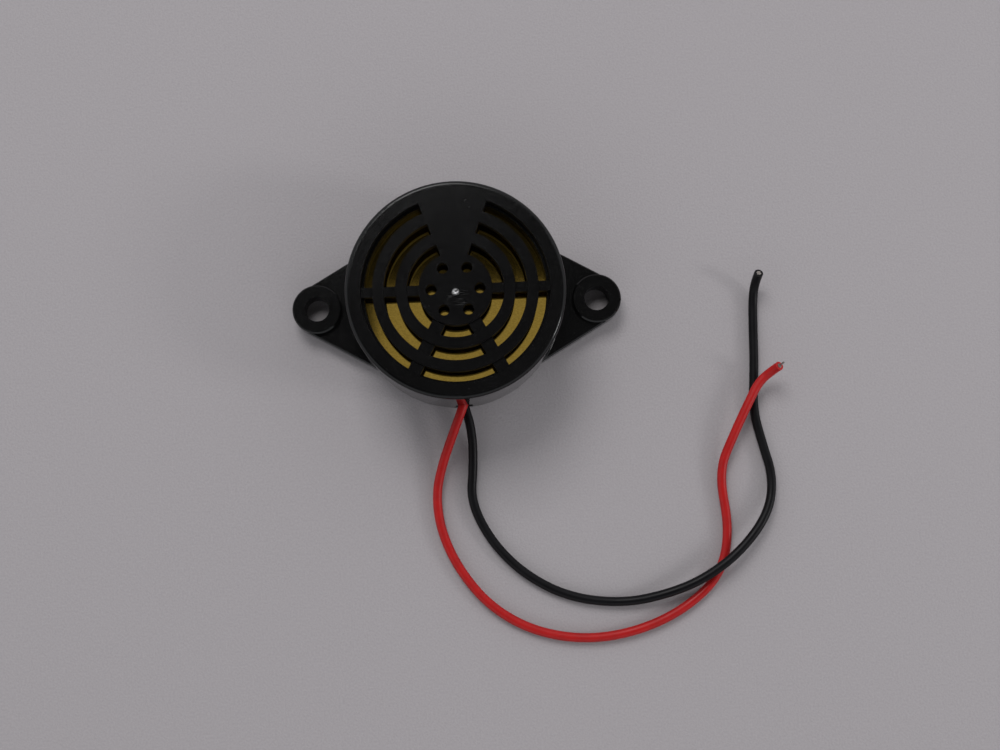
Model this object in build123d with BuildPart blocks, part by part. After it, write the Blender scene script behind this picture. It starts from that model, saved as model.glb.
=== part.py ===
from build123d import *
from math import asin, cos, radians, sin, tan
import os

# Piezo alarm buzzer: a round black housing with a slotted face, two screw ears,
# a brass sounder disc behind the slots and a driver board on the back cover.
# The origin is the centre of the underside. +Z is up, +X runs along the ears and
# the two leads leave at -Y. All sizes are in millimetres.

os.makedirs("parts", exist_ok=True)

# Piezo sounder
piezo_diameter = 27.0
brass_thickness = 0.25
ceramic_diameter = 19.0
ceramic_thickness = 0.2
electrode_margin = 0.5
electrode_thickness = 0.05
feedback_width = 3.0
feedback_length = 5.0
electrode_gap = 0.5
piezo_clearance = 0.05
glue_width = 1.1
glue_height = 0.9

# Housing
wall_thickness = 1.1
wall_draft = 0.35
rim_round = 0.6
face_thickness = 1.5
chamber_depth = 1.7
ledge_width = 1.05
gate_radius = 0.55
gate_height = 0.15
gate_offset = -0.5

# Slotted face
hub_radius = 5.0
slot_width = 1.6
slot_count = 3
slot_rim_inset = 0.65
rib_width = 1.35
spoke_width = 1.8
spoke_angle = 28.5
wedge_half_angle = 21.3
rib_recess = 0.35
sound_hole_diameter = 1.5
sound_hole_circle = 3.3
sound_hole_count = 6

# Screw ears
hole_pitch = 40.0
screw_hole_diameter = 3.5
boss_radius = 3.5
boss_height = 3.05
boss_bevel = 0.2
ear_thickness = 2.2
ear_side_inset = 1.15
ear_foot_round = 0.3
ear_bevel = 0.2

# Leads
lead_diameter = 1.3
conductor_diameter = 0.7
strand_diameter = 0.24
lead_spacing = 3.0
lead_clearance = 0.1
notch_width = 2.5
notch_height = 4.4
exit_offset = 0.45
strip_length = 4.2
strip_overlap = 0.3
cut_bore_depth = 0.9
cut_stub_length = 0.08
loose_strand_length = 0.9
bend_share = 0.45

# Seal round the leads inside the notch
seal_gap = 0.9
seal_length = 2.2
seal_side = 1.0
seal_height = 2.4
seal_round = 0.6

# Back cover
cover_thickness = 1.2
cover_rebate = 0.35
cover_clearance = 0.05
post_radius = 1.1
pin_radius = 0.55
pin_clearance = 0.05
stake_radius = 0.9
stake_height = 0.4
post_inset = 1.4

# Circuit board
board_length = 20.0
board_width = 16.0
board_thickness = 1.0
board_corner = 1.5
pad_thickness = 0.1
pad_ring = 0.5
joint_height = 0.8
joint_tip_share = 0.5
hole_clearance = 0.1
bead_width = 1.1
bead_length = 1.8
bead_drop = 0.25

# Board components: places are measured from the board's left and lower edges
coil_height = 4.0
coil_flange_radius = 2.8
coil_hub_radius = 1.2
coil_flange_thickness = 0.6
coil_winding_radius = 2.5
coil_sleeve_thickness = 0.2
coil_pin_diameter = 0.6
coil_pin_pitch = 4.0
coil_inset = (5.2, 9.5)
headroom = 4.4
transistor_radius = 2.35
transistor_flat = 1.25
transistor_length = 4.6
transistor_inset = (14.6, 8.4)
leg_pitch = 1.27
leg_width = 0.5
leg_depth = 0.4
leg_reach = 1.4
resistor_length = 3.4
resistor_radius = 0.95
resistor_waist = 0.8
resistor_cap = 0.8
resistor_pitch = 6.0
resistor_wire_diameter = 0.45
resistor_lift = 0.1
resistor_inset = 15.2
resistor_row_insets = {"bias_resistor": 6.4, "load_resistor": 4.0}

# Thin wires between the sounder and the board: the joint on the sounder, then the board hole
thin_wire_diameter = 0.6
blob_radius = 0.8
blob_tip_radius = 0.45
blob_height = 0.6
thin_wire_rise = 2.6
thin_wire_fall = 0.3
brass_joint_inset = 2.14
brass_joint_angle = 205.0
drive_joint = (-4.4, -6.2)
feedback_joint_inset = 2.5
ground_hole_inset = (2.0, 4.8)
drive_hole_inset = (4.4, 4.4)
feedback_hole_inset = (6.8, 4.4)

# Heights and radii that follow from the sizes above
piezo_radius = piezo_diameter / 2
bore_radius = piezo_radius + piezo_clearance
chamber_radius = piezo_radius - ledge_width
base_radius = bore_radius + wall_thickness
rim_radius = base_radius + wall_draft
rebate_radius = bore_radius + cover_rebate
cover_radius = rebate_radius - cover_clearance
lead_radius = lead_diameter / 2
conductor_radius = conductor_diameter / 2
exit_height = cover_thickness + lead_clearance + lead_radius
board_bottom = exit_height + conductor_radius + pad_thickness
board_top = board_bottom + board_thickness
pad_bottom = board_bottom - pad_thickness
ledge_height = board_top + coil_height + headroom
body_height = ledge_height + chamber_depth + face_thickness
face_bottom = body_height - face_thickness
brass_bottom = ledge_height - brass_thickness
ceramic_bottom = brass_bottom - ceramic_thickness
electrode_bottom = ceramic_bottom - electrode_thickness
ceramic_radius = ceramic_diameter / 2
electrode_radius = ceramic_radius - electrode_margin
slot_outer_radius = piezo_radius - slot_rim_inset
slot_pitch = (slot_outer_radius - slot_width - hub_radius) / (slot_count - 1)
slot_radii = [hub_radius + slot_pitch * ring for ring in range(slot_count)]
ear_centres = [(hole_pitch / 2, 0), (-hole_pitch / 2, 0)]
ear_side_radius = base_radius - ear_side_inset
ear_slope = asin((ear_side_radius - boss_radius) / (hole_pitch / 2))
red_x = exit_offset + lead_spacing / 2
black_x = exit_offset - lead_spacing / 2
board_left = -board_length / 2
board_edge = -board_width / 2
lead_start = board_edge - strip_length / 2
lead_ends = {"red": (red_x, lead_start, exit_height), "black": (black_x, lead_start, exit_height)}

# Lead routes: the outside points are read from how the leads lie. The red lead passes over the
# black one in the notch. Each then drops to the surface, and rises only where it crosses the
# other again and at its cut end.
floor_height = lead_radius
red_route = [
    lead_ends["red"],
    (0.55, -14.2, 3.75),
    (-1.4, -18.8, 2.6),
    (-3.1, -23.0, 1.2),
    (-4.1, -27.2, floor_height),
    (-3.5, -32.5, floor_height),
    (-1.0, -38.1, floor_height),
    (3.2, -43.3, floor_height),
    (9.3, -46.9, floor_height),
    (16.9, -48.3, floor_height),
    (24.7, -47.1, floor_height),
    (31.3, -44.0, floor_height),
    (35.9, -39.7, floor_height),
    (37.4, -33.6, floor_height),
    (36.3, -25.4, 0.8),
    (38.7, -20.2, 1.7),
    (41.0, -15.8, 2.1),
    (42.6, -13.0, 2.15),
    (44.3, -11.6, 2.55),
    (45.3, -11.0, 4.3),
]
black_route = [
    lead_ends["black"],
    (0.75, -15.2, exit_height),
    (1.45, -19.0, 1.35),
    (1.35, -23.5, 0.7),
    (0.8, -28.2, floor_height),
    (3.5, -34.0, floor_height),
    (8.1, -38.9, floor_height),
    (14.3, -42.3, floor_height),
    (21.8, -43.4, 0.7),
    (28.2, -42.3, 1.5),
    (33.3, -40.4, 2.15),
    (38.5, -36.9, 2.15),
    (42.9, -31.8, 1.5),
    (44.1, -26.6, 0.75),
    (42.8, -21.4, floor_height),
    (41.8, -16.6, floor_height),
    (42.4, -10.6, floor_height),
    (42.6, -4.8, floor_height),
    (42.8, -0.8, floor_height),
    (43.05, 1.5, 1.65),
    (43.3, 2.5, 3.9),
]


# Bends as wide as the two runs beside them allow
def bend_radii(route):
    radii = []
    for before, corner, after in zip(route, route[1:], route[2:]):
        run_in = Vector(*corner) - Vector(*before)
        run_out = Vector(*after) - Vector(*corner)
        half_turn = radians(run_in.get_angle(run_out)) / 2
        radii.append(bend_share * min(run_in.length, run_out.length) / tan(half_turn))
    return radii


# Unit direction of the last run of a route
def end_direction(route):
    return (Vector(*route[-1]) - Vector(*route[-2])).normalized()


# Plane across the cut end of a lead, facing along the lead, at a distance from the cut
def cut_plane(route, distance=0.0):
    direction = end_direction(route)
    return Plane(origin=Vector(*route[-1]) + direction * distance, z_dir=direction)


# Red and black leads, each with a short bore where the cut conductor shows
leads = {}
for colour, route in (("red", red_route), ("black", black_route)):
    with BuildPart() as lead:
        with BuildLine() as lead_path:
            FilletPolyline(*route, radius=bend_radii(route))
        with BuildSketch(Plane(origin=lead_path.line @ 0, z_dir=lead_path.line % 0)):
            Circle(lead_radius)
        sweep()
        with BuildSketch(cut_plane(route)):
            Circle(conductor_radius)
        extrude(amount=-cut_bore_depth, mode=Mode.SUBTRACT)
    lead.part.label = colour + "_lead"
    export_step(lead.part, "parts/" + colour + "_lead.step")
    leads[colour] = lead.part
    lead_section = Circle(lead_radius).area
    bore_volume = Circle(conductor_radius).area * cut_bore_depth
    lead_length = sum(edge.length for edge in lead_path.line.edges())
    fill = (lead.part.volume + bore_volume) / (lead_section * lead_length)
    print(colour, "lead length", round(lead_length, 1), "mm, volume over section x length", round(fill, 4))
    print(colour, "bend radii", [round(radius, 1) for radius in bend_radii(route)])

# Cut conductor of the red lead, with one loose strand
with BuildPart() as red_cut_strands:
    with BuildSketch(cut_plane(red_route, -cut_bore_depth)):
        Circle(conductor_radius)
    extrude(amount=cut_bore_depth + cut_stub_length)
    with BuildSketch(cut_plane(red_route)):
        Circle(strand_diameter / 2)
    extrude(amount=loose_strand_length)
red_cut_strands.part.label = "red_cut_strands"
export_step(red_cut_strands.part, "parts/red_cut_strands.step")

# Cut conductor of the black lead
with BuildPart() as black_cut_strands:
    with BuildSketch(cut_plane(black_route, -cut_bore_depth)):
        Circle(conductor_radius)
    extrude(amount=cut_bore_depth + cut_stub_length)
black_cut_strands.part.label = "black_cut_strands"
export_step(black_cut_strands.part, "parts/black_cut_strands.step")

# Bare conductors that run from the leads to their pads under the board
bare_ends = {}
for colour, end in lead_ends.items():
    with BuildPart() as bare_end:
        with BuildSketch(Plane.XZ.offset(-end[1] + strip_overlap)):
            with Locations((end[0], end[2])):
                Circle(conductor_radius)
        extrude(amount=-strip_length - strip_overlap)
        add(leads[colour], mode=Mode.SUBTRACT)
    bare_end.part.label = colour + "_bare_end"
    export_step(bare_end.part, "parts/" + colour + "_bare_end.step")
    bare_ends[colour] = bare_end.part

# Housing: one moulding with the slotted face, wall, ledge, ears and lead notch
with BuildPart() as housing:
    with BuildSketch(Plane.XZ):
        with BuildLine():
            Polyline((0, 0), (base_radius, 0), (rim_radius, body_height), (0, body_height), close=True)
        make_face()
    revolve(axis=Axis.Z)
    fillet(housing.edges().filter_by(GeomType.CIRCLE).sort_by(Axis.Z)[-1], rim_round)

    # Ear plates: straight sides, tangent to the boss and to a circle inside the wall
    boss_tangent = (hole_pitch / 2 + boss_radius * sin(ear_slope), boss_radius * cos(ear_slope))
    wall_tangent = (ear_side_radius * sin(ear_slope), ear_side_radius * cos(ear_slope))
    with BuildSketch() as ear_plan:
        with BuildLine():
            Polyline(
                boss_tangent,
                wall_tangent,
                (wall_tangent[0], -wall_tangent[1]),
                (boss_tangent[0], -boss_tangent[1]),
                close=True,
            )
        make_face()
        mirror(about=Plane.YZ)
        with Locations(*ear_centres):
            Circle(boss_radius)
    extrude(amount=ear_thickness - ear_bevel)
    with BuildSketch(Plane.XY.offset(ear_thickness - ear_bevel)):
        add(ear_plan.sketch)
    extrude(amount=ear_bevel, taper=45)
    with BuildSketch():
        with Locations(*ear_centres):
            Circle(boss_radius)
    extrude(amount=boss_height)
    round_edges = housing.edges().filter_by(GeomType.CIRCLE)
    chamfer(round_edges.filter_by_position(Axis.Z, boss_height, boss_height), boss_bevel)
    wall_feet = housing.edges().filter_by(GeomType.CIRCLE).filter_by_position(
        Axis.Z, ear_thickness, ear_thickness
    )
    fillet(wall_feet.filter_by(lambda edge: edge.radius > bore_radius), ear_foot_round)

    # Inside: cover rebate, bore for the sounder, ledge and front chamber
    with BuildSketch(Plane.XZ):
        with BuildLine():
            Polyline(
                (0, 0),
                (rebate_radius, 0),
                (rebate_radius, cover_thickness),
                (bore_radius, cover_thickness),
                (bore_radius, ledge_height),
                (chamber_radius, ledge_height),
                (chamber_radius, face_bottom),
                (0, face_bottom),
                close=True,
            )
        make_face()
    revolve(axis=Axis.Z, mode=Mode.SUBTRACT)

    # Recess of the slotted rings, outside the solid wedge
    wedge_reach = 2 * rim_radius
    wedge_side = wedge_reach * tan(radians(wedge_half_angle))
    with BuildSketch(Plane.XY.offset(body_height)) as slot_rings:
        for slot_radius in reversed(slot_radii):
            Circle(slot_radius + slot_width)
            Circle(slot_radius, mode=Mode.SUBTRACT)
        with BuildLine():
            Polyline((0, 0), (wedge_side, wedge_reach), (-wedge_side, wedge_reach), close=True)
        make_face(mode=Mode.SUBTRACT)
    extrude(amount=-rib_recess, mode=Mode.SUBTRACT)

    # Slots: the rings, cut between two level ribs and two lower spokes
    with BuildSketch(Plane.XY.offset(body_height)):
        add(slot_rings.sketch)
        Rectangle(2 * rim_radius, rib_width, mode=Mode.SUBTRACT)
        for side in (-spoke_angle, spoke_angle):
            spoke_middle = rim_radius / 2
            with Locations((spoke_middle * sin(radians(side)), -spoke_middle * cos(radians(side)))):
                Rectangle(spoke_width, rim_radius, rotation=side, mode=Mode.SUBTRACT)
    extrude(amount=-face_thickness, mode=Mode.SUBTRACT)

    # Sound holes in the hub, and the mark left by the mould's gate
    with Locations(Plane.XY.offset(body_height)):
        with PolarLocations(sound_hole_circle, sound_hole_count):
            Hole(sound_hole_diameter / 2, depth=face_thickness)
    with Locations((0, gate_offset, body_height)):
        Cylinder(gate_radius, gate_height, align=(Align.CENTER, Align.CENTER, Align.MIN))

    # Screw holes through the ears
    with BuildSketch():
        with Locations(*ear_centres):
            Circle(screw_hole_diameter / 2)
    extrude(amount=boss_height, mode=Mode.SUBTRACT)

    # Notch in the wall for the two leads, with round upper corners
    with BuildSketch(Plane.XZ.offset(chamber_radius)) as notch:
        with Locations((exit_offset, 0)):
            Rectangle(notch_width, notch_height, align=(Align.CENTER, Align.MIN))
        fillet(notch.vertices().group_by(Axis.Y)[-1], lead_radius)
    extrude(amount=2 * wall_thickness + wall_draft, mode=Mode.SUBTRACT)
housing.part.label = "housing"
export_step(housing.part, "parts/housing.step")

# Back cover: a disc in the rebate, a tongue under the leads and four staked board posts
post_x = board_length / 2 - post_inset
post_y = board_width / 2 - post_inset
post_places = [(post_x, post_y), (-post_x, post_y), (post_x, -post_y), (-post_x, -post_y)]
with BuildPart() as back_cover:
    with BuildSketch():
        Circle(base_radius)
        with Locations((exit_offset, 0)):
            Rectangle(
                notch_width - 2 * cover_clearance,
                base_radius,
                align=(Align.CENTER, Align.MAX),
                mode=Mode.INTERSECT,
            )
        Circle(cover_radius)
    extrude(amount=cover_thickness)
    with BuildSketch(Plane.XY.offset(cover_thickness)):
        with Locations(*post_places):
            Circle(post_radius)
    extrude(amount=board_bottom - cover_thickness)
    with BuildSketch(Plane.XY.offset(board_bottom)):
        with Locations(*post_places):
            Circle(pin_radius)
    extrude(amount=board_thickness)
    with BuildSketch(Plane.XY.offset(board_top)):
        with Locations(*post_places):
            Circle(stake_radius)
    extrude(amount=stake_height)
back_cover.part.label = "back_cover"
export_step(back_cover.part, "parts/back_cover.step")

# Brass disc of the sounder, glued against the ledge
with BuildPart() as piezo_brass_plate:
    with BuildSketch(Plane.XY.offset(brass_bottom)):
        Circle(piezo_radius)
    extrude(amount=brass_thickness)
piezo_brass_plate.part.label = "piezo_brass_plate"
export_step(piezo_brass_plate.part, "parts/piezo_brass_plate.step")

# Ceramic disc behind the brass
with BuildPart() as piezo_ceramic:
    with BuildSketch(Plane.XY.offset(ceramic_bottom)):
        Circle(ceramic_radius)
    extrude(amount=ceramic_thickness)
piezo_ceramic.part.label = "piezo_ceramic"
export_step(piezo_ceramic.part, "parts/piezo_ceramic.step")

# Silver electrodes: the drive area with a bay at its edge for the feedback tab
feedback_middle = (0, -electrode_radius + feedback_length / 2)
with BuildPart() as drive_electrode:
    with BuildSketch(Plane.XY.offset(electrode_bottom)):
        Circle(electrode_radius)
        with Locations(feedback_middle):
            Rectangle(
                feedback_width + 2 * electrode_gap,
                feedback_length + 2 * electrode_gap,
                mode=Mode.SUBTRACT,
            )
    extrude(amount=electrode_thickness)
drive_electrode.part.label = "drive_electrode"
export_step(drive_electrode.part, "parts/drive_electrode.step")

with BuildPart() as feedback_electrode:
    with BuildSketch(Plane.XY.offset(electrode_bottom)):
        with Locations(feedback_middle):
            Rectangle(feedback_width, feedback_length)
        Circle(electrode_radius, mode=Mode.INTERSECT)
    extrude(amount=electrode_thickness)
feedback_electrode.part.label = "feedback_electrode"
export_step(feedback_electrode.part, "parts/feedback_electrode.step")

# Bead of adhesive that holds the brass disc to the bore
with BuildPart() as piezo_adhesive_ring:
    with BuildSketch(Plane.XZ):
        with BuildLine():
            Polyline(
                (bore_radius - glue_width, brass_bottom),
                (bore_radius, brass_bottom),
                (bore_radius, brass_bottom - glue_height),
                close=True,
            )
        make_face()
    revolve(axis=Axis.Z)
piezo_adhesive_ring.part.label = "piezo_adhesive_ring"
export_step(piezo_adhesive_ring.part, "parts/piezo_adhesive_ring.step")

# Places of the components and their wires on the board
def board_place(inset):
    return (board_left + inset[0], board_edge + inset[1])


coil_place = board_place(coil_inset)
transistor_place = board_place(transistor_inset)
resistor_x = board_left + resistor_inset
resistor_rows = {name: board_edge + inset for name, inset in resistor_row_insets.items()}
ground_hole = board_place(ground_hole_inset)
drive_hole = board_place(drive_hole_inset)
feedback_hole = board_place(feedback_hole_inset)
leg_places = [(transistor_place[0] + leg_pitch * step, transistor_place[1]) for step in (-1, 0, 1)]
coil_pin_places = [(coil_place[0] + coil_pin_pitch / 2 * side, coil_place[1]) for side in (-1, 1)]
resistor_places = [
    (resistor_x + resistor_pitch / 2 * side, row) for row in resistor_rows.values() for side in (-1, 1)
]
thin_wire_places = [ground_hole, drive_hole, feedback_hole]
leg_half_diagonal = (leg_width**2 + leg_depth**2) ** 0.5 / 2
leg_hole_radius = leg_half_diagonal + hole_clearance
coil_hole_radius = coil_pin_diameter / 2 + hole_clearance
resistor_hole_radius = resistor_wire_diameter / 2 + hole_clearance
thin_wire_hole_radius = thin_wire_diameter / 2 + hole_clearance
wire_holes = [
    (leg_places, leg_hole_radius, leg_pitch / 2 - hole_clearance),
    (coil_pin_places, coil_hole_radius, coil_hole_radius + pad_ring),
    (resistor_places, resistor_hole_radius, resistor_hole_radius + pad_ring),
    (thin_wire_places, thin_wire_hole_radius, thin_wire_hole_radius + pad_ring),
]

# Circuit board on the four posts
with BuildPart() as circuit_board:
    with BuildSketch(Plane.XY.offset(board_bottom)):
        RectangleRounded(board_length, board_width, board_corner)
        with Locations(*post_places):
            Circle(pin_radius + pin_clearance, mode=Mode.SUBTRACT)
        for places, hole_radius, pad_radius in wire_holes:
            with Locations(*places):
                Circle(hole_radius, mode=Mode.SUBTRACT)
    extrude(amount=board_thickness)
circuit_board.part.label = "circuit_board"
export_step(circuit_board.part, "parts/circuit_board.step")

# Copper pads under the board: a square one at each wire hole and one for each lead
bead_y = board_edge + bead_length / 2
with BuildPart() as copper_pads:
    with BuildSketch(Plane.XY.offset(pad_bottom)):
        for places, hole_radius, pad_radius in wire_holes:
            with Locations(*places):
                Rectangle(2 * pad_radius, 2 * pad_radius)
        with Locations((red_x, bead_y), (black_x, bead_y)):
            Rectangle(bead_width, bead_length)
        for places, hole_radius, pad_radius in wire_holes:
            with Locations(*places):
                Circle(hole_radius, mode=Mode.SUBTRACT)
    extrude(amount=pad_thickness)
copper_pads.part.label = "copper_pads"
export_step(copper_pads.part, "parts/copper_pads.step")

# Transistor lying on its flat side
with BuildPart() as transistor:
    transistor_face = transistor_place[1] + leg_reach
    leg_height = board_top + transistor_flat
    with BuildSketch(Plane.XZ.offset(-transistor_face)) as transistor_section:
        with Locations((transistor_place[0], leg_height)):
            Circle(transistor_radius)
            with Locations((0, -transistor_flat)):
                Rectangle(
                    2 * transistor_radius,
                    2 * transistor_radius,
                    align=(Align.CENTER, Align.MAX),
                    mode=Mode.SUBTRACT,
                )
    extrude(amount=-transistor_length)
transistor.part.label = "transistor"
export_step(transistor.part, "parts/transistor.step")

# Three transistor legs, bent down through the board
with BuildPart() as transistor_legs:
    for leg_x, leg_y in leg_places:
        leg_route = [
            (leg_x, transistor_face, leg_height),
            (leg_x, leg_y, leg_height),
            (leg_x, leg_y, pad_bottom),
        ]
        with BuildLine() as leg_path:
            FilletPolyline(*leg_route, radius=bend_radii(leg_route))
        with BuildSketch(Plane.XZ.offset(-transistor_face)):
            with Locations((leg_x, leg_height)):
                Rectangle(leg_width, leg_depth)
        sweep(path=leg_path.line)
transistor_legs.part.label = "transistor_legs"
export_step(transistor_legs.part, "parts/transistor_legs.step")

# Coil: drum core, winding, shrink sleeve and two pins
coil_plane = Plane(origin=(coil_place[0], coil_place[1], board_top))
with BuildPart() as coil_core:
    with BuildSketch(coil_plane):
        Circle(coil_flange_radius)
    extrude(amount=coil_flange_thickness)
    with BuildSketch(coil_plane):
        Circle(coil_hub_radius)
    extrude(amount=coil_height)
    with BuildSketch(coil_plane.offset(coil_height)):
        Circle(coil_flange_radius)
    extrude(amount=-coil_flange_thickness)
coil_core.part.label = "coil_core"
export_step(coil_core.part, "parts/coil_core.step")

with BuildPart() as coil_winding:
    with BuildSketch(coil_plane.offset(coil_flange_thickness)):
        Circle(coil_winding_radius)
        Circle(coil_hub_radius, mode=Mode.SUBTRACT)
    extrude(amount=coil_height - 2 * coil_flange_thickness)
coil_winding.part.label = "coil_winding"
export_step(coil_winding.part, "parts/coil_winding.step")

with BuildPart() as coil_sleeve:
    with BuildSketch(coil_plane):
        Circle(coil_flange_radius + coil_sleeve_thickness)
        Circle(coil_flange_radius, mode=Mode.SUBTRACT)
    extrude(amount=coil_height)
coil_sleeve.part.label = "coil_sleeve"
export_step(coil_sleeve.part, "parts/coil_sleeve.step")

with BuildPart() as coil_pins:
    with BuildSketch(Plane.XY.offset(pad_bottom)):
        with Locations(*coil_pin_places):
            Circle(coil_pin_diameter / 2)
    extrude(amount=board_top - pad_bottom)
coil_pins.part.label = "coil_pins"
export_step(coil_pins.part, "parts/coil_pins.step")

# Two resistors with waisted bodies
resistor_axis_height = board_top + resistor_lift + resistor_radius
for name, row in resistor_rows.items():
    with BuildPart() as resistor:
        with BuildSketch(Plane.YZ.offset(resistor_x - resistor_length / 2)):
            with Locations((row, resistor_axis_height)):
                Circle(resistor_waist)
        extrude(amount=resistor_length)
        for cap_start in (-resistor_length / 2, resistor_length / 2 - resistor_cap):
            with BuildSketch(Plane.YZ.offset(resistor_x + cap_start)):
                with Locations((row, resistor_axis_height)):
                    Circle(resistor_radius)
            extrude(amount=resistor_cap)
    resistor.part.label = name
    export_step(resistor.part, "parts/" + name + ".step")

# Bent wires of both resistors
with BuildPart() as resistor_leads:
    for row in resistor_rows.values():
        for side in (-1, 1):
            wire_end = resistor_x + resistor_length / 2 * side
            wire_hole = resistor_x + resistor_pitch / 2 * side
            wire_route = [
                (wire_end, row, resistor_axis_height),
                (wire_hole, row, resistor_axis_height),
                (wire_hole, row, pad_bottom),
            ]
            with BuildLine() as wire_path:
                FilletPolyline(*wire_route, radius=bend_radii(wire_route))
            with BuildSketch(Plane(origin=wire_path.line @ 0, z_dir=wire_path.line % 0)):
                Circle(resistor_wire_diameter / 2)
            sweep(path=wire_path.line)
resistor_leads.part.label = "resistor_leads"
export_step(resistor_leads.part, "parts/resistor_leads.step")

# Solder joints on the sounder: one on the brass, one on each electrode
brass_joint_radius = piezo_radius - brass_joint_inset
brass_joint = (
    brass_joint_radius * cos(radians(brass_joint_angle)),
    brass_joint_radius * sin(radians(brass_joint_angle)),
)
feedback_joint = (0, -electrode_radius + feedback_joint_inset)
sounder_joints = {
    "piezo_ground_wire": (brass_joint, brass_bottom, ground_hole),
    "piezo_drive_wire": (drive_joint, electrode_bottom, drive_hole),
    "piezo_feedback_wire": (feedback_joint, electrode_bottom, feedback_hole),
}
with BuildPart() as piezo_solder:
    for place, joint_top, board_hole in sounder_joints.values():
        with Locations((place[0], place[1], joint_top)):
            Cone(
                blob_tip_radius,
                blob_radius,
                blob_height,
                align=(Align.CENTER, Align.CENTER, Align.MAX),
            )
piezo_solder.part.label = "piezo_solder"
export_step(piezo_solder.part, "parts/piezo_solder.step")

# Three thin wires from the sounder down to the board
for name, (place, joint_top, board_hole) in sounder_joints.items():
    wire_top = joint_top - blob_height
    wire_turn = board_top + thin_wire_rise
    wire_route = [
        (place[0], place[1], wire_top),
        (place[0], place[1], wire_turn),
        (board_hole[0], board_hole[1], wire_turn - thin_wire_fall),
        (board_hole[0], board_hole[1], pad_bottom),
    ]
    with BuildPart() as thin_wire:
        with BuildLine() as wire_path:
            FilletPolyline(*wire_route, radius=bend_radii(wire_route))
        with BuildSketch(Plane(origin=wire_path.line @ 0, z_dir=wire_path.line % 0)):
            Circle(thin_wire_diameter / 2)
        sweep(path=wire_path.line)
    thin_wire.part.label = name
    export_step(thin_wire.part, "parts/" + name + ".step")

# Solder joints under the board: a cone over each wire end and a bead over each lead end
with BuildPart() as board_solder:
    for places, hole_radius, pad_radius in wire_holes:
        for x, y in places:
            with Locations((x, y, pad_bottom)):
                Cone(
                    joint_tip_share * pad_radius,
                    pad_radius,
                    joint_height,
                    align=(Align.CENTER, Align.CENTER, Align.MAX),
                )
    for lead_x in (red_x, black_x):
        with Locations((lead_x, bead_y, pad_bottom)):
            Box(
                bead_width,
                bead_length,
                conductor_diameter - bead_drop,
                align=(Align.CENTER, Align.CENTER, Align.MAX),
            )
    for wire in bare_ends.values():
        add(wire, mode=Mode.SUBTRACT)
board_solder.part.label = "board_solder"
export_step(board_solder.part, "parts/board_solder.step")

# Seal that holds the leads to the cover, just inside the notch
with BuildPart() as lead_seal:
    with Locations((exit_offset, board_edge - seal_gap, cover_thickness)):
        Box(
            lead_spacing + lead_diameter + 2 * seal_side,
            seal_length,
            seal_height,
            align=(Align.CENTER, Align.MAX, Align.MIN),
        )
    fillet(lead_seal.edges().filter_by(Axis.Z), seal_round)
    fillet(lead_seal.edges().group_by(Axis.Z)[-1], seal_round)
    for lead_part in leads.values():
        add(lead_part, mode=Mode.SUBTRACT)
    for bare_part in bare_ends.values():
        add(bare_part, mode=Mode.SUBTRACT)
lead_seal.part.label = "lead_seal"
export_step(lead_seal.part, "parts/lead_seal.step")
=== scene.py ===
import math
import random

import bpy
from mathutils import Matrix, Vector


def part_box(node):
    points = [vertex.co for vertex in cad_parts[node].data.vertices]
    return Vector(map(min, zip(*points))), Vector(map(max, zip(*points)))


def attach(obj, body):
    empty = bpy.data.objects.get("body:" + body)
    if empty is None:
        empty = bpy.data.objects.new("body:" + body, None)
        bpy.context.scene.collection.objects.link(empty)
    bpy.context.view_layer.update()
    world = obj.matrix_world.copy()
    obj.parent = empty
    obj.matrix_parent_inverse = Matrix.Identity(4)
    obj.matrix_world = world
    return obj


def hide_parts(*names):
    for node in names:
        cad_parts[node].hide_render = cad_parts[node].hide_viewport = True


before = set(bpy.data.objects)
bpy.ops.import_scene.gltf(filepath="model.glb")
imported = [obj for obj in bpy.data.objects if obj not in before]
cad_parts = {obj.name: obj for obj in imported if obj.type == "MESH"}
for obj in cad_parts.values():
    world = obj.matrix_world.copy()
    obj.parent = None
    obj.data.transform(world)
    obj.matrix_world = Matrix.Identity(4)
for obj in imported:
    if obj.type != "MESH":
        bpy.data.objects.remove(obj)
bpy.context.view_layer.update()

# Piezo alarm buzzer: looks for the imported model. Every object is in metres, in the frame's axes.
# Sizes below are in millimetres where their name ends in _mm.
MM = 0.001
housing_low, housing_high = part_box("housing")
body_centre = Vector(((housing_low.x + housing_high.x) / 2, (housing_low.y + housing_high.y) / 2, 0))
face_level = housing_high.z


# A point given in millimetres from the centre of the underside, in the frame's metres
def place(x_mm, y_mm, z_mm):
    return body_centre + Vector((x_mm, y_mm, z_mm)) * MM


# Camera: above the object and leaning a little towards the leads
camera_place_mm = (2.123, -35.783, 210.139)
camera_turn = (0.122, -0.012, -0.043)
image_width_px = 1000
focal_length_px = 1468.25
sensor_width_mm = 36.0
camera_data = bpy.data.cameras.new("camera")
camera_data.sensor_width = sensor_width_mm
camera_data.lens = focal_length_px / image_width_px * sensor_width_mm
camera = bpy.data.objects.new("camera", camera_data)
camera.location = place(*camera_place_mm)
camera.rotation_euler = camera_turn
bpy.context.scene.collection.objects.link(camera)
bpy.context.scene.camera = camera

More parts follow.
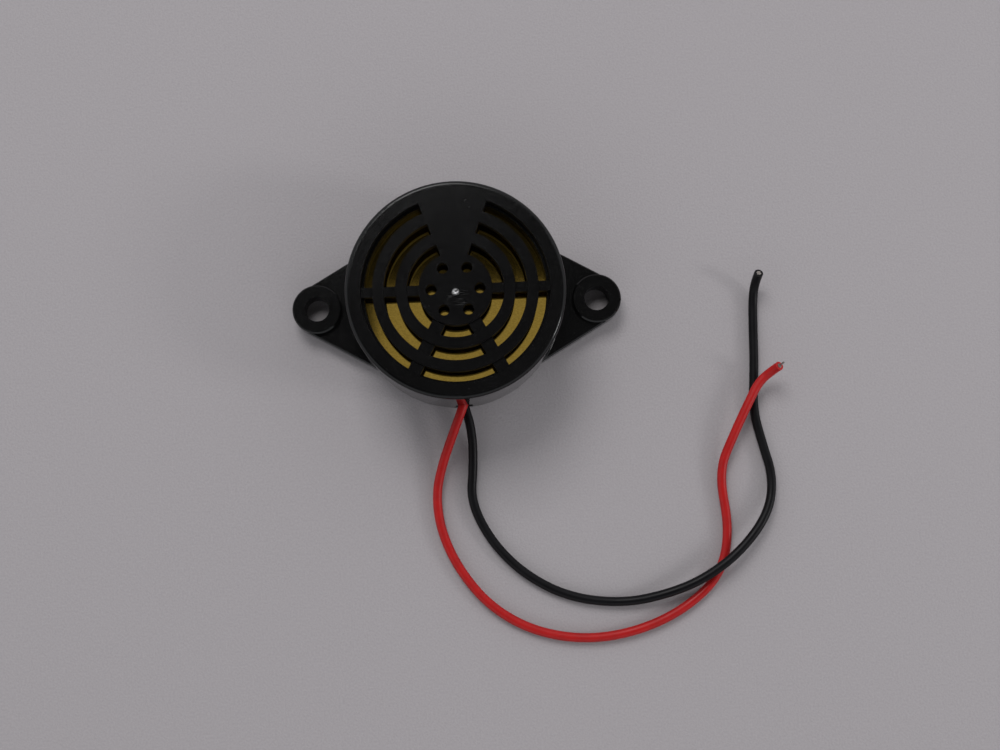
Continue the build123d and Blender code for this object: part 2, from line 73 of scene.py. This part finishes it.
# Leads: the route points of the part's source
lead_diameter_mm = 1.3
conductor_diameter_mm = 0.7
strand_diameter_mm = 0.24
floor_height_mm = lead_diameter_mm / 2
exit_height_mm = 1.95
routes_mm = {
    "red_lead": [
        (1.95, -10.1, exit_height_mm),
        (0.55, -14.2, 3.75),
        (-1.4, -18.8, 2.6),
        (-3.1, -23.0, 1.2),
        (-4.1, -27.2, floor_height_mm),
        (-3.5, -32.5, floor_height_mm),
        (-1.0, -38.1, floor_height_mm),
        (3.2, -43.3, floor_height_mm),
        (9.3, -46.9, floor_height_mm),
        (16.9, -48.3, floor_height_mm),
        (24.7, -47.1, floor_height_mm),
        (31.3, -44.0, floor_height_mm),
        (35.9, -39.7, floor_height_mm),
        (37.4, -33.6, floor_height_mm),
        (36.3, -25.4, 0.8),
        (38.7, -20.2, 1.7),
        (41.0, -15.8, 2.1),
        (42.6, -13.0, 2.15),
        (44.3, -11.6, 2.55),
        (45.3, -11.0, 4.3),
    ],
    "black_lead": [
        (-1.05, -10.1, exit_height_mm),
        (0.75, -15.2, exit_height_mm),
        (1.45, -19.0, 1.35),
        (1.35, -23.5, 0.7),
        (0.8, -28.2, floor_height_mm),
        (3.5, -34.0, floor_height_mm),
        (8.1, -38.9, floor_height_mm),
        (14.3, -42.3, floor_height_mm),
        (21.8, -43.4, 0.7),
        (28.2, -42.3, 1.5),
        (33.3, -40.4, 2.15),
        (38.5, -36.9, 2.15),
        (42.9, -31.8, 1.5),
        (44.1, -26.6, 0.75),
        (42.8, -21.4, floor_height_mm),
        (41.8, -16.6, floor_height_mm),
        (42.4, -10.6, floor_height_mm),
        (42.6, -4.8, floor_height_mm),
        (42.8, -0.8, floor_height_mm),
        (43.05, 1.5, 1.65),
        (43.3, 2.5, 3.9),
    ],
}


# Adds a new object to the scene
def add_object(name, data):
    made = bpy.data.objects.new(name, data)
    bpy.context.scene.collection.objects.link(made)
    return made


# A round tube as a curve: the bevel is one metre, and each point's radius scales it.
# The resolution is how finely the tube is rounded.
def tube_curve(name, resolution):
    curve = bpy.data.curves.new(name, "CURVE")
    curve.dimensions = "3D"
    curve.bevel_depth = 1.0
    curve.bevel_resolution = resolution
    curve.use_fill_caps = True
    return curve


def tube_spline(curve, kind, points, diameter_mm):
    spline = curve.splines.new(kind)
    spline.points.add(len(points) - 1)
    for point, at in zip(spline.points, points):
        point.co = (*at, 1)
        point.radius = diameter_mm / 2 * MM
    return spline


steps_between_points = 14


# A lead's insulation: a smooth spline with the route's points as control points
def insulation(name, points_mm):
    curve = tube_curve(name, resolution=6)
    curve.resolution_u = steps_between_points
    spline = tube_spline(curve, "NURBS", [place(*at_mm) for at_mm in points_mm], lead_diameter_mm)
    spline.order_u = 3
    spline.use_endpoint_u = True
    return add_object(name + "_insulation", curve)


outer_strands = 6
strand_root_mm = 0.5
shortest_share = 0.3
loose_bend_share = 0.3
loose_lean = 0.25


# A cut conductor: one strand in the middle and six round it, each a small tube cut off at its own
# length, and one of them may stick out of the cut and lean outwards
def cut_strands(name, points_mm, stub_mm, loose_mm, seed):
    tip = place(*points_mm[-1])
    along = (tip - place(*points_mm[-2])).normalized()
    across = along.orthogonal().normalized()
    second = along.cross(across)
    spread = random.Random(seed)
    curve = tube_curve(name, resolution=4)
    ring = (conductor_diameter_mm - strand_diameter_mm) / 2 * MM
    offsets = [Vector((0, 0, 0))]
    for step in range(outer_strands):
        angle = math.tau * step / outer_strands
        offsets.append((across * math.cos(angle) + second * math.sin(angle)) * ring)
    for index, offset in enumerate(offsets):
        reach = stub_mm * spread.uniform(shortest_share, 1.0) * MM
        start = tip + offset - along * strand_root_mm * MM
        points = [start, tip + offset, tip + offset + along * reach]
        if index == 1 and loose_mm:
            bend = tip + offset + along * loose_bend_share * loose_mm * MM
            lean = (offset.normalized() * loose_lean + along).normalized()
            end = bend + lean * (1 - loose_bend_share) * loose_mm * MM
            points = [start, tip + offset, bend, end]
        tube_spline(curve, "POLY", points, strand_diameter_mm)
    return add_object(name, curve)


red_insulation = insulation("red_lead", routes_mm["red_lead"])
black_insulation = insulation("black_lead", routes_mm["black_lead"])
red_strands = cut_strands(
    "red_conductor_strands", routes_mm["red_lead"], stub_mm=0.1, loose_mm=0.8, seed=3
)
black_strands = cut_strands(
    "black_conductor_strands", routes_mm["black_lead"], stub_mm=0.08, loose_mm=0, seed=5
)
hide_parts("red_lead")
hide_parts("black_lead")
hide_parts("red_cut_strands")
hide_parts("black_cut_strands")
for piece in (red_insulation, black_insulation, red_strands, black_strands):
    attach(piece, "root")


# A material with its Principled shader set from plain numbers
def material(name, colour, roughness, metallic=0.0, specular=0.5):
    made = bpy.data.materials.new(name)
    made.use_nodes = True
    shader = made.node_tree.nodes["Principled BSDF"]
    shader.inputs["Base Color"].default_value = (*colour, 1)
    shader.inputs["Roughness"].default_value = roughness
    shader.inputs["Metallic"].default_value = metallic
    shader.inputs["Specular IOR Level"].default_value = specular
    return made


# Makes a node and sets its inputs and properties by name
def node(made, kind, inputs=None, **properties):
    new = made.node_tree.nodes.new(kind)
    for name, value in properties.items():
        setattr(new, name, value)
    for name, value in (inputs or {}).items():
        new.inputs[name].default_value = value
    return new


def link(made, source, target):
    made.node_tree.links.new(source, target)


def shader_input(made, name):
    return made.node_tree.nodes["Principled BSDF"].inputs[name]


# Noise in the piece's own metres: size_mm is the width of one feature
def noise(made, size_mm, detail=2.0, stretch=(1, 1, 1)):
    coordinates = node(made, "ShaderNodeTexCoord")
    scale = tuple(1 / (size_mm * MM * part) for part in stretch)
    mapping = node(made, "ShaderNodeMapping", {"Scale": scale})
    link(made, coordinates.outputs["Object"], mapping.inputs["Vector"])
    texture = node(made, "ShaderNodeTexNoise", {"Scale": 1.0, "Detail": detail})
    link(made, mapping.outputs["Vector"], texture.inputs["Vector"])
    return texture.outputs["Fac"]


# Turns a value output that runs through a band, given as (low, high), into another range
def ranged(made, value, band, result=(0.0, 1.0)):
    ends = ("From Min", "From Max", "To Min", "To Max")
    step = node(made, "ShaderNodeMapRange", dict(zip(ends, (*band, *result))))
    link(made, value, step.inputs["Value"])
    return step.outputs["Result"]


# Arithmetic on two values, each an output or a plain number
def calculated(made, operation, first, second):
    step = node(made, "ShaderNodeMath", operation=operation)
    for socket, value in zip(step.inputs, (first, second)):
        if isinstance(value, (int, float)):
            socket.default_value = value
        else:
            link(made, value, socket)
    return step.outputs["Value"]


# Goes from the first value output to the second as the factor output goes from 0 to 1
def blended(made, factor, first, second):
    difference = calculated(made, "SUBTRACT", second, first)
    return calculated(made, "ADD", first, calculated(made, "MULTIPLY", difference, factor))


# Mixes two colours, or a colour and a colour output, by a factor output
def mixed(made, factor, first, second):
    step = node(made, "ShaderNodeMix", data_type="RGBA")
    link(made, factor, step.inputs["Factor"])
    colour_inputs = [socket for socket in step.inputs if socket.type == "RGBA"]
    for socket, value in zip(colour_inputs, (first, second)):
        if isinstance(value, tuple):
            socket.default_value = (*value, 1)
        else:
            link(made, value, socket)
    return [socket for socket in step.outputs if socket.type == "RGBA"][0]


# Bump from a list of heights, each an output and a depth in millimetres
def bumped(made, heights):
    last = None
    for value, depth_mm in heights:
        bump = node(made, "ShaderNodeBump", {"Strength": 1.0, "Distance": depth_mm * MM})
        link(made, value, bump.inputs["Height"])
        if last:
            link(made, last, bump.inputs["Normal"])
        last = bump.outputs["Normal"]
    link(made, last, shader_input(made, "Normal"))


# Where a surface faces up or down, as the world's normal along z
def upward(made):
    geometry = node(made, "ShaderNodeNewGeometry")
    parts = node(made, "ShaderNodeSeparateXYZ")
    link(made, geometry.outputs["Normal"], parts.inputs["Vector"])
    return parts.outputs["Z"]


# The height of a point of the mesh, in metres
def height(made):
    coordinates = node(made, "ShaderNodeTexCoord")
    parts = node(made, "ShaderNodeSeparateXYZ")
    link(made, coordinates.outputs["Object"], parts.inputs["Vector"])
    return parts.outputs["Z"]


# The distance of a point of the mesh from an upright line, in millimetres
def from_line(made, x_mm, y_mm):
    coordinates = node(made, "ShaderNodeTexCoord")
    shift = tuple(-part for part in place(x_mm, y_mm, 0))
    mapping = node(made, "ShaderNodeMapping", {"Location": shift, "Scale": (1, 1, 0)})
    link(made, coordinates.outputs["Object"], mapping.inputs["Vector"])
    length = node(made, "ShaderNodeVectorMath", operation="LENGTH")
    link(made, mapping.outputs["Vector"], length.inputs[0])
    return calculated(made, "MULTIPLY", length.outputs["Value"], 1 / MM)


# Housing: gloss on the outside of the wall, a little less on the level faces, and matt inside.
# Each band is (low, high): where a pattern fades in, in the value of its noise or in millimetres.
plastic_colour = (0.0019, 0.0018, 0.0019)
dust_colour = (0.008, 0.0075, 0.008)
# Near white: the painted glint on the gate, and the light scratches beside it
glint_and_scratch_colour = (0.7, 0.69, 0.69)
gloss_roughness_range = (0.05, 0.12)
level_roughness_range = (0.13, 0.18)
inside_roughness_range = (0.5, 0.6)
level_band = (0.9, 0.99)
wall_band_mm = (14.2, 14.3)
gloss_band = (0.35, 0.7)
matt_band = (0.3, 0.75)
dust_band = (0.62, 0.8)
scuff_band = (0.62, 0.78)
scuff_strength = 0.6
gate_place_mm = (0, -0.5)
gate_band_mm = (0.1, 0.55)
gate_height_band = (face_level - 0.2 * MM, face_level - 0.1 * MM)
glint_patch_band = (0.42, 0.56)
rub_place_mm = (0.3, -1.1)
rub_band_mm = (0.4, 1.7)
streak_band = (0.58, 0.74)
streak_strength = 0.12
bump_depth_mm = 0.02


# One value output times another
def times(made, first, second):
    return calculated(made, "MULTIPLY", first, second)


housing_plastic = material("black_moulded_plastic", plastic_colour, 0.2, specular=0.22)
level = ranged(housing_plastic, upward(housing_plastic), level_band)
inside = ranged(housing_plastic, from_line(housing_plastic, 0, 0), wall_band_mm, (1.0, 0.0))
smears = noise(housing_plastic, 4.0, detail=4.0)
gloss_roughness = ranged(housing_plastic, smears, gloss_band, gloss_roughness_range)
level_roughness = ranged(housing_plastic, smears, matt_band, level_roughness_range)
inside_roughness = ranged(housing_plastic, smears, matt_band, inside_roughness_range)
walls = blended(housing_plastic, inside, gloss_roughness, inside_roughness)
roughness = blended(housing_plastic, level, walls, level_roughness)
link(housing_plastic, roughness, shader_input(housing_plastic, "Roughness"))

# Dust on the level faces and scuffs everywhere
dust = ranged(housing_plastic, noise(housing_plastic, 0.5, detail=6.0), dust_band)
scuffs = noise(housing_plastic, 0.35, detail=3.0, stretch=(8, 1, 1))
rubbed = ranged(housing_plastic, scuffs, scuff_band, (0.0, scuff_strength))
marks = calculated(housing_plastic, "MAXIMUM", times(housing_plastic, dust, level), rubbed)
shade = mixed(housing_plastic, marks, plastic_colour, dust_colour)

# A painted highlight on the raised gate in the middle: near-white patches in its colour stand in for its
# glint. Beside it, the rubbed streaks are light scratches.
at_gate = ranged(housing_plastic, from_line(housing_plastic, *gate_place_mm), gate_band_mm, (1.0, 0.0))
glint_patches = ranged(housing_plastic, noise(housing_plastic, 0.3, detail=3.0), glint_patch_band)
raised = ranged(housing_plastic, height(housing_plastic), gate_height_band)
# Painted glint: where the raised gate is coloured near white
painted_gate_glint = times(housing_plastic, times(housing_plastic, at_gate, glint_patches), raised)
near_rub = ranged(housing_plastic, from_line(housing_plastic, *rub_place_mm), rub_band_mm, (1.0, 0.0))
streak_noise = noise(housing_plastic, 0.12, detail=3.0, stretch=(14, 1, 1))
streaks = ranged(housing_plastic, streak_noise, streak_band, (0.0, streak_strength))
rub_mark = times(housing_plastic, times(housing_plastic, near_rub, streaks), level)
glint_and_scratches = calculated(housing_plastic, "MAXIMUM", painted_gate_glint, rub_mark)
colour_with_painted_glint = mixed(housing_plastic, glint_and_scratches, shade, glint_and_scratch_colour)
link(housing_plastic, colour_with_painted_glint, shader_input(housing_plastic, "Base Color"))

# A fine grain on the level faces and a slow unevenness everywhere
grain = times(housing_plastic, noise(housing_plastic, 0.12, detail=2.0), level)
bumped(housing_plastic, [(grain, bump_depth_mm), (noise(housing_plastic, 6.0), bump_depth_mm)])

tone_band = (0.35, 0.7)
roughness_band = (0.3, 0.7)
roughness_change = (0.8, 1.2)


# Small plain parts: one colour with fine variation, roughness variation and a little bump
def detailed(
    name, colour, other, roughness, metallic=0.0, size_mm=0.6, depth_mm=0.01, stretch=(1, 1, 1), **more
):
    made = material(name, colour, roughness, metallic, **more)
    fine = noise(made, size_mm, detail=4.0, stretch=stretch)
    factor = ranged(made, fine, tone_band)
    link(made, mixed(made, factor, colour, other), shader_input(made, "Base Color"))
    patches = noise(made, size_mm * 3, detail=3.0)
    rough = ranged(made, patches, roughness_band, [part * roughness for part in roughness_change])
    link(made, rough, shader_input(made, "Roughness"))
    bumped(made, [(fine, depth_mm)])
    return made


insulation_look = {"size_mm": 1.5, "depth_mm": 0.02}
red_pvc = detailed(
    "red_pvc", (0.36, 0.008, 0.008), (0.3, 0.007, 0.007), 0.42, specular=0.2, **insulation_look
)
black_pvc = detailed(
    "black_pvc", (0.003, 0.0027, 0.0033), (0.0045, 0.0042, 0.005), 0.42, specular=0.12, **insulation_look
)
node_materials = {
    "housing": housing_plastic,
    "back_cover": detailed(
        "cover_plastic", (0.014, 0.014, 0.015), (0.02, 0.02, 0.02), 0.48, size_mm=0.15,
    ),
    "piezo_brass_plate": detailed(
        "rolled_brass",
        (0.84, 0.57, 0.115),
        (0.62, 0.41, 0.07),
        0.06,
        1.0,
        size_mm=0.14,
        depth_mm=0.0003,
        stretch=(2, 1, 1),
    ),
    "piezo_ceramic": detailed(
        "piezo_ceramic", (0.55, 0.53, 0.47), (0.48, 0.46, 0.4), 0.5, size_mm=0.3,
    ),
    "drive_electrode": detailed(
        "silver_film", (0.78, 0.77, 0.74), (0.68, 0.67, 0.64), 0.42, 1.0, size_mm=0.3,
    ),
    "piezo_adhesive_ring": detailed(
        "clear_adhesive", (0.62, 0.55, 0.38), (0.54, 0.47, 0.3), 0.2, size_mm=1.2, depth_mm=0.04
    ),
    "circuit_board": detailed(
        "phenolic_board", (0.42, 0.24, 0.08), (0.36, 0.2, 0.06), 0.45, size_mm=0.2,
    ),
    "copper_pads": detailed(
        "copper_foil", (0.86, 0.42, 0.27), (0.72, 0.33, 0.2), 0.35, 1.0, size_mm=0.2,
    ),
    "transistor": detailed(
        "moulding_compound", (0.016, 0.016, 0.017), (0.024, 0.024, 0.024), 0.55, size_mm=0.12,
    ),
    "coil_core": detailed("ferrite", (0.05, 0.048, 0.05), (0.035, 0.034, 0.036), 0.5, size_mm=0.1),
    "coil_winding": detailed(
        "enamelled_copper",
        (0.62, 0.25, 0.1),
        (0.4, 0.14, 0.05),
        0.28,
        1.0,
        size_mm=2.0,
        stretch=(1, 1, 0.04),
    ),
    "coil_sleeve": detailed(
        "heat_shrink", (0.015, 0.015, 0.016), (0.022, 0.022, 0.022), 0.38, size_mm=0.8,
    ),
    "bias_resistor": detailed(
        "resistor_lacquer", (0.55, 0.42, 0.26), (0.5, 0.37, 0.22), 0.3, size_mm=0.5,
    ),
    "lead_seal": detailed(
        "silicone", (0.7, 0.69, 0.66), (0.62, 0.61, 0.58), 0.35, size_mm=1.0, depth_mm=0.05,
    ),
    "board_solder": detailed("solder", (0.72, 0.72, 0.72), (0.6, 0.6, 0.6), 0.28, 1.0, size_mm=0.5),
    "transistor_legs": detailed(
        "tinned_steel", (0.74, 0.73, 0.71), (0.64, 0.63, 0.61), 0.3, 1.0, size_mm=0.2,
    ),
    "red_cut_strands": detailed(
        "dull_strands", (0.17, 0.15, 0.14), (0.3, 0.27, 0.25), 0.45, 1.0, size_mm=0.15,
    ),
    "red_bare_end": detailed(
        "tinned_copper", (0.75, 0.73, 0.7), (0.66, 0.62, 0.56), 0.32, 1.0, size_mm=0.15,
    ),
    "piezo_ground_wire": black_pvc,
    "piezo_drive_wire": red_pvc,
    "piezo_feedback_wire": detailed(
        "blue_pvc", (0.02, 0.08, 0.42), (0.02, 0.06, 0.34), 0.34, size_mm=0.8,
    ),
}
alike = {
    "feedback_electrode": "drive_electrode",
    "load_resistor": "bias_resistor",
    "piezo_solder": "board_solder",
    "resistor_leads": "transistor_legs",
    "coil_pins": "transistor_legs",
    "black_bare_end": "red_bare_end",
    "black_cut_strands": "red_cut_strands",
}
for name, like in alike.items():
    node_materials[name] = node_materials[like]
for name, finish in node_materials.items():
    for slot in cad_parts[name].material_slots:
        slot.material = finish
red_insulation.data.materials.append(red_pvc)
black_insulation.data.materials.append(black_pvc)
for piece in (red_strands, black_strands):
    piece.data.materials.append(node_materials["red_cut_strands"])

# Floor: matt pale grey paper
floor_size_mm = 1600
floor_mesh = bpy.data.meshes.new("floor")
half = floor_size_mm / 2
corners = [place(x, y, 0) for x, y in ((-half, -half), (half, -half), (half, half), (-half, half))]
floor_mesh.from_pydata(corners, [], [(0, 1, 2, 3)])
floor = add_object("floor", floor_mesh)
fibre_band = (0.3, 0.7)
paper_tones = ((0.308, 0.287, 0.297), (0.342, 0.319, 0.329))
paper = material("floor_paper", paper_tones[0], 0.75, specular=0.2)
fibres = noise(paper, 0.3, detail=3.0)
tint = ranged(paper, fibres, fibre_band)
link(paper, mixed(paper, tint, *paper_tones), shader_input(paper, "Base Color"))
bumped(paper, [(fibres, 0.05)])
floor_mesh.materials.append(paper)


# Soft lamps, each aimed at a point
def lamp(name, at_mm, width_mm, depth_mm, watts, aim_mm=(0, -15, 0)):
    data = bpy.data.lights.new(name, "AREA")
    data.shape = "RECTANGLE"
    data.size = width_mm * MM
    data.size_y = depth_mm * MM
    data.energy = watts
    made = add_object(name, data)
    made.location = place(*at_mm)
    aim = place(*aim_mm) - made.location
    made.rotation_euler = aim.to_track_quat("-Z", "Y").to_euler()


lamp("ceiling_lamp", (-190, 600, 820), width_mm=480, depth_mm=480, watts=5.5)
lamp("side_lamp", (586, -135, 295), width_mm=120, depth_mm=120, watts=0.85)
# A dim panel straight above, which the brass mirrors
lamp("overhead_panel", (110, -41, 600), width_mm=320, depth_mm=300, watts=0.07, aim_mm=(110, -41, 0))

# Surround: brighter near the horizon than overhead. The band is the height of a direction, where 1 is
# straight up.
horizon_band = (0.6, 0.9)
horizon_strength = 1.0
overhead_strength = 0.008
world = bpy.data.worlds.new("world")
world.use_nodes = True
background = world.node_tree.nodes["Background"]
background.inputs["Color"].default_value = (0.95, 0.97, 1.0, 1)
direction = node(world, "ShaderNodeTexCoord")
direction_parts = node(world, "ShaderNodeSeparateXYZ")
link(world, direction.outputs["Generated"], direction_parts.inputs["Vector"])
upward_part = direction_parts.outputs["Z"]
strength = ranged(world, upward_part, horizon_band, (horizon_strength, overhead_strength))
link(world, strength, background.inputs["Strength"])
bpy.context.scene.world = world
bpy.context.scene.view_settings.view_transform = "Standard"
